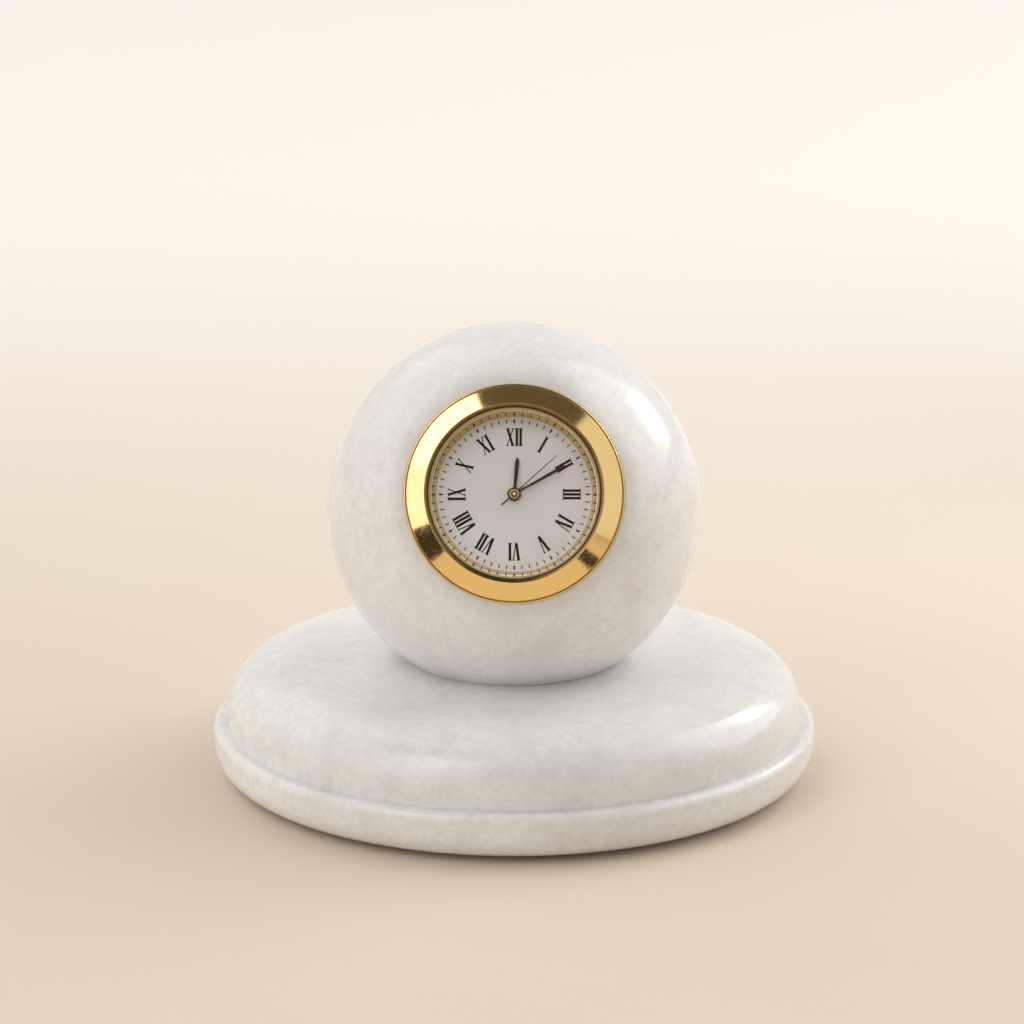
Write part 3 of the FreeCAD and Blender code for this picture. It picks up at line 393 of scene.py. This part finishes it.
materials = {
    "marble": marble(),
    "felt": felt(),
    "zinc_steel": metal("zinc_steel", srgb(206, 206, 202), srgb(184, 185, 182), 0.24, 0.14, 700),
    # The bezel's last number sets how much painted shade its mouth gets.
    "gold_plate": gold("gold_plate", srgb(251, 217, 148), srgb(248, 212, 142), 0.05, 0.14, 0.85),
    "case_brass": metal("case_brass", srgb(222, 190, 122), srgb(196, 160, 96), 0.24, 0.16, 500),
    "hand_gold": hand_gold(),
    "mineral_glass": glass(),
    "clear_gasket": gasket(),
    "dial_paint": dial_paint(),
    "black_rubber": plastic("black_rubber", srgb(52, 52, 54), srgb(38, 38, 40), 0.55, 0.2, 900, 0.00002),
    "back_steel": metal(
        "back_steel", srgb(206, 206, 206), srgb(182, 182, 184), 0.26, 0.12, 240, 0.000006, (1, 1, 40)
    ),
    "white_nylon": plastic(
        "white_nylon", srgb(238, 236, 230), srgb(224, 221, 213), 0.34, 0.14, 700, 0.000006
    ),
    "grey_plastic": plastic("grey_plastic", srgb(104, 106, 112), srgb(86, 88, 94), 0.4, 0.15, 800, 0.000008),
    "cell_steel": metal("cell_steel", srgb(216, 216, 216), srgb(196, 197, 199), 0.14, 0.12, 600),
    "magnet": metal("magnet", srgb(104, 104, 108), srgb(78, 78, 84), 0.34, 0.16, 900),
    "copper_wire": metal(
        "copper_wire", srgb(214, 132, 84), srgb(172, 92, 52), 0.22, 0.1, 120, 0.00003, (60, 1, 1), 0.4
    ),
    "board_green": plastic("board_green", srgb(52, 118, 74), srgb(38, 92, 58), 0.24, 0.1, 400, 0.00001, 0.3),
    "chip_resin": plastic("chip_resin", srgb(42, 42, 44), srgb(32, 32, 34), 0.5, 0.15, 1500, 0.000006),
}
rehaut_gold = gold("rehaut_gold", srgb(236, 204, 142), srgb(226, 190, 126), 0.12, 0.2)
slot_of = {part["node"]: part["material_slot"] for part in frame["record"]["subparts"]}
for name, thing in nodes.items():
    for place in thing.material_slots:
        place.material = rehaut_gold if name == "rehaut_ring" else materials[slot_of[name]]

# Dial printing, in mm

DIAL_TOP = -1.5
INK_THICKNESS = 0.02
NUMERAL_FOOT = 7.76
NUMERAL_HEIGHT = 2.84
STEM = 0.41
HAIRLINE = 0.17
SERIF = 0.13
SERIF_REACH = 0.13
INNER_REACH = SERIF_REACH * 0.6
STEM_PITCH = 0.6
DIAGONAL_WIDTH = 1.28
V_NOTCH = 0.16
V_FOOT_SHIFT = 0.02
V_HAIR_SHIFT = 0.01
X_EXTRA_WIDTH = 0.06
X_CROSSING_GAP = 0.2
X_STEM_REACH = SERIF_REACH * 0.8
X_HAIR_REACH = SERIF_REACH * 0.9
LETTER_GAP = 0.1
TRACK_INNER = 11.4
TRACK_OUTER = 12.05
HOUR_MARK_HALF = 0.13
MINUTE_MARK_HALF = 0.085
SMOOTH_LIMIT = math.radians(15)
NUMERALS = ("XII", "I", "II", "III", "IV", "V", "VI", "VII", "VIII", "IX", "X", "XI")


def slanted(x_foot, x_head, width, low, high):
    """A stroke whose foot and head are level, between two heights."""
    half = width / 2
    return [(x_foot - half, low), (x_foot + half, low), (x_head + half, high), (x_head - half, high)]


def bar(x_low, x_high, low, high):
    """A rectangle."""
    return [(x_low, low), (x_high, low), (x_high, high), (x_low, high)]


def letter_shapes(letter):
    """Shapes of one letter from x = 0, and its advance."""
    low, high = SERIF, NUMERAL_HEIGHT - SERIF
    top, bottom = NUMERAL_HEIGHT, 0
    if letter == "I":
        middle = STEM_PITCH / 2
        reach = STEM / 2 + SERIF_REACH
        return [
            bar(middle - STEM / 2, middle + STEM / 2, low, high),
            bar(middle - reach, middle + reach, high, top),
            bar(middle - reach, middle + reach, bottom, low),
        ], STEM_PITCH
    if letter == "V":
        left, right = STEM / 2 + INNER_REACH, DIAGONAL_WIDTH - HAIRLINE / 2 - INNER_REACH
        foot = DIAGONAL_WIDTH / 2 + V_FOOT_SHIFT
        return [
            slanted(foot, left, STEM, bottom, high),
            [
                (foot + V_HAIR_SHIFT, V_NOTCH), (foot + STEM / 2, V_NOTCH),
                (right + HAIRLINE / 2, high), (right - HAIRLINE / 2, high),
            ],
            bar(left - STEM / 2 - INNER_REACH, left + STEM / 2 + SERIF_REACH, high, top),
            bar(right - HAIRLINE / 2 - SERIF_REACH, right + HAIRLINE / 2 + INNER_REACH, high, top),
        ], DIAGONAL_WIDTH
    edge = STEM / 2 + INNER_REACH
    thin = HAIRLINE / 2 + X_HAIR_REACH
    width = DIAGONAL_WIDTH + X_EXTRA_WIDTH
    shapes = [slanted(width - edge, edge, STEM, low, high)]
    below, above = NUMERAL_HEIGHT / 2 - X_CROSSING_GAP, NUMERAL_HEIGHT / 2 + X_CROSSING_GAP
    x_low, x_high = thin, width - thin

    def along(height):
        return x_low + (x_high - x_low) * (height - low) / (high - low)

    shapes.append(slanted(x_low, along(below), HAIRLINE, low, below))
    shapes.append(slanted(along(above), x_high, HAIRLINE, above, high))
    shapes.append(bar(0, edge + STEM / 2 + X_STEM_REACH, high, top))
    shapes.append(bar(x_high - HAIRLINE / 2 - SERIF_REACH, width, high, top))
    shapes.append(bar(0, x_low + HAIRLINE / 2 + SERIF_REACH, bottom, low))
    shapes.append(bar(width - edge - STEM / 2 - X_STEM_REACH, width, bottom, low))
    return shapes, width


def prism(bm, corners, low, high):
    """A solid from a flat outline, counted anticlockwise, between two heights."""
    area = sum(a[0] * b[1] - b[0] * a[1] for a, b in zip(corners, corners[1:] + corners[:1]))
    if area < 0:
        corners = corners[::-1]
    under = [bm.verts.new((x * MM, y * MM, low * MM)) for x, y in corners]
    over = [bm.verts.new((x * MM, y * MM, high * MM)) for x, y in corners]
    bm.faces.new(over)
    bm.faces.new(under[::-1])
    count = len(corners)
    for i in range(count):
        k = (i + 1) % count
        bm.faces.new((under[i], under[k], over[k], over[i]))


def add_object(name, bm, material, place):
    """An object at the origin, its place in its mesh."""
    mesh = bpy.data.meshes.new(name)
    bm.to_mesh(mesh)
    bm.free()
    mesh.transform(place)
    thing = bpy.data.objects.new(name, mesh)
    scene.collection.objects.link(thing)
    mesh.materials.append(material)
    return thing


def mesh_piece(name, bm, material, body):
    """One piece in the insert's frame. Edges that turn by more than a bevel's step stay crisp."""
    bmesh.ops.recalc_face_normals(bm, faces=bm.faces)
    for edge in bm.edges:
        edge.smooth = edge.calc_face_angle(0) < SMOOTH_LIMIT
    for face in bm.faces:
        face.smooth = True
    thing = add_object(name, bm, material, INSERT)
    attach(thing, body)
    return thing


def turned_about(corners, clockwise, rise):
    """Corners at the middle of the dial, moved out along a clock angle with their foot inward."""
    s, c = math.sin(math.radians(clockwise)), math.cos(math.radians(clockwise))
    return [(x * c + (y + rise) * s, -x * s + (y + rise) * c) for x, y in corners]


dial_ink = ink()
bm = bmesh.new()
for hour, word in enumerate(NUMERALS):
    shapes, start = [], 0
    for index, letter in enumerate(word):
        made, advance = letter_shapes(letter)
        shapes += [[(x + start, y) for x, y in shape] for shape in made]
        start += advance
        if index + 1 < len(word) and (letter != "I" or word[index + 1] != "I"):
            start += LETTER_GAP
    for shape in shapes:
        centred = [(x - start / 2, y) for x, y in shape]
        prism(bm, turned_about(centred, hour * 30, NUMERAL_FOOT), DIAL_TOP, DIAL_TOP + INK_THICKNESS)
mesh_piece("dial_numerals", bm, dial_ink, "insert")

bm = bmesh.new()
for minute in range(60):
    half = MINUTE_MARK_HALF if minute % 5 else HOUR_MARK_HALF
    tick = bar(-half, half, 0, TRACK_OUTER - TRACK_INNER)
    prism(bm, turned_about(tick, minute * 6, TRACK_INNER), DIAL_TOP, DIAL_TOP + INK_THICKNESS)
mesh_piece("dial_minute_track", bm, dial_ink, "insert")

# Turned and ridged pieces of the insert's front, in mm. Heights are from the bezel's seat.

ARC_STEP = math.radians(12)
ARC_HOLD = 0.3
CREST_HALF = 0.12
HUB_TURNS = 64
RIM_TURNS = 240

HUB = 0.96
HUB_RIM_INNER = 0.77
HUB_RIM_HEIGHT = 0.12
HOUR_LOW, HOUR_TOP = -1.08, -0.96
MINUTE_LOW, MINUTE_TOP = -0.68, -0.56
SECOND_LOW, SECOND_TOP = -0.28, -0.2
HOUR_RIDGE, MINUTE_RIDGE, SECOND_RIDGE = 0.035, 0.03, 0.01
HOUR_ANGLE, MINUTE_ANGLE, SECOND_ANGLE = 5.07, 60.8, 48.0
HOUR_BLADE = (
    (0.8, 0.225), (2.0, 0.254), (3.5, 0.296), (4.6, 0.328),
    (5.12, 0.34), (5.45, 0.27), (5.75, 0.14), (5.95, 0.015),
)
MINUTE_BLADE = (
    (0.8, 0.178), (3.0, 0.205), (5.5, 0.24), (7.2, 0.262), (8.04, 0.27),
    (8.6, 0.225), (9.0, 0.145), (9.25, 0.06), (9.35, 0.012),
)
SECOND_BLADE = ((-2.75, 0.14), (-0.3, 0.09), (0.3, 0.085), (9.2, 0.06))
BEZEL_OUTLINE = [
    (14.4, 0), (17.6, 0), (17.6, 0.5), (17.22, 0.5), (17.21, 0.47), (17.19, 0.47),
    (17.18, 0.64), (14.38, 2.0), (13.95, 1.77), (13.95, 1.0), (14.4, 1.0),
]
BEZEL_RADII = (0, 0.04, 0.18, 0.08, 0, 0, 0.05, 0.06, 0.04, 0, 0)
GASKET_OUTLINE = [
    (13.35, 0.2), (13.9, 0.2), (13.9, 1.5), (13.67, 1.5), (13.63, 1.42), (13.59, 1.5), (13.35, 1.5),
]
GASKET_RADII = (0, 0, 0.06, 0.03, 0, 0.03, 0.06)


def rounded(corners, radii):
    """An outline with its corners turned into short arcs, each held by a point on either side."""
    out = []
    for i, (corner, radius) in enumerate(zip(corners, radii)):
        here = Vector(corner)
        if not radius:
            out.append(tuple(here))
            continue
        before = (Vector(corners[i - 1]) - here).normalized()
        after = (Vector(corners[(i + 1) % len(corners)]) - here).normalized()
        half = before.angle(after) / 2
        reach = radius / math.tan(half)
        centre = here + (before + after).normalized() * (radius / math.sin(half))
        start, end = here + before * reach - centre, here + after * reach - centre
        first = math.atan2(start.y, start.x)
        sweep = math.remainder(math.atan2(end.y, end.x) - first, 2 * math.pi)
        steps = math.ceil(abs(sweep) / ARC_STEP)
        out.append(tuple(here + before * (reach + radius * ARC_HOLD)))
        for k in range(steps + 1):
            angle = first + sweep * k / steps
            out.append((centre.x + radius * math.cos(angle), centre.y + radius * math.sin(angle)))
        out.append(tuple(here + after * (reach + radius * ARC_HOLD)))
    return out


def add_turned(bm, outline, turns=HUB_TURNS):
    """A closed outline of radius and height in mm, turned about the insert's axis."""
    rings = []
    for radius, height in outline:
        count = turns if radius else 1
        angles = [2 * math.pi * k / turns for k in range(count)]
        spots = [(radius * MM * math.cos(a), radius * MM * math.sin(a), height * MM) for a in angles]
        rings.append([bm.verts.new(spot) for spot in spots])
    for low, high in zip(rings, rings[1:] + rings[:1]):
        for k in range(turns):
            n = k + 1
            corners = (low[k % len(low)], low[n % len(low)], high[n % len(high)], high[k % len(high)])
            corners = list(dict.fromkeys(corners))
            if len(corners) > 2:
                bm.faces.new(corners)


def add_blade(bm, stations, low, edge, ridge, clockwise):
    """A hand's blade with a ridge down its middle. Stations are a distance and a half width."""
    turn = Matrix.Rotation(-math.radians(clockwise), 4, "Z")
    rows = []
    for along, half in stations:
        crest = edge + (ridge - edge) * min(1.0, half / CREST_HALF)
        section = ((-half, low), (-half, edge), (0, crest), (half, edge), (half, low))
        rows.append([bm.verts.new(turn @ Vector((x * MM, along * MM, z * MM))) for x, z in section])
    for a, b in zip(rows, rows[1:]):
        for k in range(len(a)):
            bm.faces.new((a[k], a[k - 1], b[k - 1], b[k]))
    bm.faces.new(rows[0])
    bm.faces.new(rows[-1][::-1])


def bore_of(node):
    """The radius in mm of the hole round the insert's axis in a node."""
    inward = INSERT.inverted()
    spots = [inward @ v.co for v in nodes[node].data.vertices]
    return min(math.hypot(spot.x, spot.y) for spot in spots) / MM


hour_bore, minute_bore, second_bore = bore_of("hour_hand"), bore_of("minute_hand"), bore_of("second_hand")

bm = bmesh.new()
add_blade(bm, HOUR_BLADE, HOUR_LOW, HOUR_TOP - HOUR_RIDGE, HOUR_TOP, HOUR_ANGLE)
add_turned(bm, rounded(
    [(hour_bore, HOUR_LOW), (HUB, HOUR_LOW), (HUB, HOUR_TOP), (hour_bore, HOUR_TOP)],
    (0, 0, 0.03, 0),
))
piece = mesh_piece("hour_hand_ridged", bm, materials["hand_gold"], "hours")
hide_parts("hour_hand")

bm = bmesh.new()
add_blade(bm, MINUTE_BLADE, MINUTE_LOW, MINUTE_TOP - MINUTE_RIDGE, MINUTE_TOP, MINUTE_ANGLE)
rim_top = MINUTE_TOP + HUB_RIM_HEIGHT
add_turned(bm, rounded(
    [
        (minute_bore, MINUTE_LOW), (HUB, MINUTE_LOW), (HUB, rim_top),
        (HUB_RIM_INNER, rim_top), (HUB_RIM_INNER, MINUTE_TOP), (minute_bore, MINUTE_TOP),
    ],
    (0, 0, 0.09, 0.09, 0, 0),
))
piece = mesh_piece("minute_hand_ridged", bm, materials["hand_gold"], "minutes")
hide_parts("minute_hand")

bm = bmesh.new()
add_blade(bm, SECOND_BLADE, SECOND_LOW, SECOND_TOP - SECOND_RIDGE, SECOND_TOP, SECOND_ANGLE)
add_turned(bm, rounded(
    [
        (second_bore, SECOND_LOW), (0.53, SECOND_LOW), (0.53, -0.1), (0.38, -0.1), (0.35, -0.15),
        (0.18, -0.15), (0.17, -0.11), (0.1, -0.08), (0, -0.08), (0, SECOND_TOP), (second_bore, SECOND_TOP),
    ],
    (0, 0, 0.06, 0.03, 0, 0, 0, 0, 0, 0, 0),
))
piece = mesh_piece("second_hand_ridged", bm, materials["hand_gold"], "seconds")
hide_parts("second_hand")

bm = bmesh.new()
add_turned(bm, rounded(BEZEL_OUTLINE, BEZEL_RADII), RIM_TURNS)
piece = mesh_piece("bezel_turned", bm, materials["gold_plate"], "insert")
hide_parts("bezel")

bm = bmesh.new()
add_turned(bm, rounded(GASKET_OUTLINE, GASKET_RADII), RIM_TURNS)
piece = mesh_piece("gasket_turned", bm, materials["clear_gasket"], "insert")
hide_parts("crystal_gasket")

# Floor, light and camera

FLOOR_HALF = 4.0
PLAIN = (1.0, 0.99, 0.97)
WARM = (1.0, 0.985, 0.96)
LAMPS = (
    # name, azimuth, elevation, distance, width, height, radiance, colour, roll, rays that pass it by
    ("window_left_high", -48, 50.5, 1.03, 0.5, 0.72, 1.9, (0.85, 0.8, 1.0), 0, ("diffuse", "transmission")),
    ("window_left_middle", -48, 21.1, 1.0, 0.5, 0.36, 0.95, (0.74, 0.7, 1.0), 0, ("diffuse", "transmission")),
    ("window_left_low", -48, 0.2, 1.1, 0.55, 0.42, 0.8, (0.8, 0.76, 1.0), 0, ("diffuse", "transmission")),
    ("dial_fill", 0, 72, 1.0, 1.0, 0.8, 3.2, (1.0, 0.985, 0.97), 0, ("diffuse", "glossy")),
    ("window_left", -50, 34, 1.0, 0.6, 1.4, 1.05, WARM, 0, ("glossy",)),
    ("window_back_left", -132, 40, 1.0, 1.0, 0.7, 0.62, PLAIN, 0, ()),
    ("window_right", 123.8, 23, 0.185, 0.054, 0.062, 3.6, PLAIN, -32, ()),
    ("window_wide", 115, 32, 1.1, 1.0, 1.0, 1.65, PLAIN, 0, ()),
)
FLAGS = (
    # name, azimuth, distance, then width and height in mm
    ("flag_left", -42.5, 0.308, 60, 68),
    ("flag_right", 35.9, 0.23, 26, 18),
)
CARD_HALF = 3
CARD_ABOVE = [(-300, -50), (300, -50), (240, 200), (-240, 200)]
CARD_ABOVE_LOW = 540
SKY_COLOUR = (0.82, 0.805, 0.79, 1)
ROOM_COLOUR = (0.12, 0.105, 0.09, 1)
# Between which values of a direction's parts the sky gives way to the room
ROOM_LEFT = (-0.28, -0.25)
ROOM_RIGHT = (0.5, 0.54)
ROOM_FRONT = (-0.1, 0.1)
ROOM_OVER = (0.02, 0.2)


def stage_piece(name, bm, material, place=Matrix.Identity(4)):
    """A piece of the set, which is no part of the object."""
    thing = add_object(name, bm, material, place)
    return thing


def dark_card(name, bm, paint, place=Matrix.Identity(4)):
    """A card that only reflections show."""
    card = stage_piece(name, bm, paint.owner, place)
    card.visible_camera = card.visible_diffuse = card.visible_shadow = False


bm = bmesh.new()
for x, y in ((-1, -1), (1, -1), (1, 1), (-1, 1)):
    bm.verts.new((x * FLOOR_HALF, y * FLOOR_HALF, 0))
bm.faces.new(bm.verts)
stage_piece("floor", bm, floor_paint())


def toward(azimuth, elevation):
    """A direction from the object: azimuth 0 is towards the camera and 90 to its right."""
    a, e = math.radians(azimuth), math.radians(elevation)
    return Vector((math.sin(a) * math.cos(e), -math.cos(a) * math.cos(e), math.sin(e)))


def lamp(name, azimuth, elevation, distance, width, height, radiance, colour, roll):
    """A soft panel that faces the ball, its brightness given as it shows."""
    light = bpy.data.lights.new(name, "AREA")
    light.shape = "RECTANGLE"
    light.size = width
    light.size_y = height
    light.energy = radiance * math.pi * width * height
    light.color = colour
    thing = bpy.data.objects.new(name, light)
    direction = toward(azimuth, elevation)
    thing.location = BALL_CENTRE + direction * distance
    turn = Matrix.Rotation(math.radians(roll), 3, "Z")
    thing.rotation_euler = (direction.to_track_quat("Z", "Y").to_matrix() @ turn).to_euler()
    scene.collection.objects.link(thing)
    return thing


for *panel, unseen_by in LAMPS:
    light = lamp(*panel)
    for ray in unseen_by:
        setattr(light, "visible_" + ray, False)


def flag(name, azimuth, distance, width, height):
    """A small dark card that stands beside the set, for the polished bezel to mirror."""
    t = Tree(name)
    t.principled(Base_Color=t.mix(t.noise(60, 3, 0.6), srgb(36, 26, 14), srgb(22, 15, 8)), Roughness=0.7)
    bm = bmesh.new()
    prism(bm, bar(-width / 2, width / 2, -CARD_HALF, CARD_HALF), 0, height)
    spot = toward(azimuth, 0) * distance
    dark_card(name, bm, t, Matrix.Translation(spot) @ Matrix.Rotation(math.radians(azimuth), 4, "Z"))


for card in FLAGS:
    flag(*card)

paint = Tree("flag_above")
paint.principled(Base_Color=paint.mix(paint.noise(8, 2), srgb(52, 40, 26), srgb(36, 27, 16)), Roughness=0.8)
bm = bmesh.new()
prism(bm, CARD_ABOVE, CARD_ABOVE_LOW, CARD_ABOVE_LOW + 2 * CARD_HALF)
dark_card("flag_above", bm, paint)

# A pale sky all round, with a dark room in front of the clock and above it.
sky = Tree("studio", world=True)
scene.world = sky.owner
axes = sky.node("ShaderNodeSeparateXYZ")
sky.link(sky.node("ShaderNodeTexCoord").outputs["Generated"], axes.inputs[0])
left_edge = sky.ramp(axes.outputs["X"], *ROOM_LEFT)
right_edge = sky.ramp(axes.outputs["X"], *ROOM_RIGHT, 1, 0)
front = sky.ramp(axes.outputs["Y"], *ROOM_FRONT, 1, 0)
over = sky.ramp(axes.outputs["Z"], *ROOM_OVER)
room = sky.math("MULTIPLY", sky.math("MULTIPLY", left_edge, right_edge), sky.math("MULTIPLY", front, over))
back = sky.node("ShaderNodeBackground")
sky.link(sky.mix(room, SKY_COLOUR, ROOM_COLOUR), back.inputs["Color"])
back.inputs["Strength"].default_value = 1.0
sky.link(back.outputs[0], sky.out.inputs["Surface"])

CAMERA_TARGET = Vector((-0.00036, 0, 0.04357))
CAMERA_DISTANCE = 1.0
CAMERA_ELEVATION = 16.84
CAMERA_PITCH = 16.82
CAMERA_LENS = 215.06
SENSOR_WIDTH = 36
CLIP_START = 0.05
camera_data = bpy.data.cameras.new("camera")
camera_data.sensor_width = SENSOR_WIDTH
camera_data.lens = CAMERA_LENS
camera_data.clip_start = CLIP_START
camera = bpy.data.objects.new("camera", camera_data)
camera.location = CAMERA_TARGET + toward(0, CAMERA_ELEVATION) * CAMERA_DISTANCE
camera.rotation_euler = (math.radians(90 - CAMERA_PITCH), 0, 0)
scene.collection.objects.link(camera)
scene.camera = camera
scene.view_settings.view_transform = "Standard"
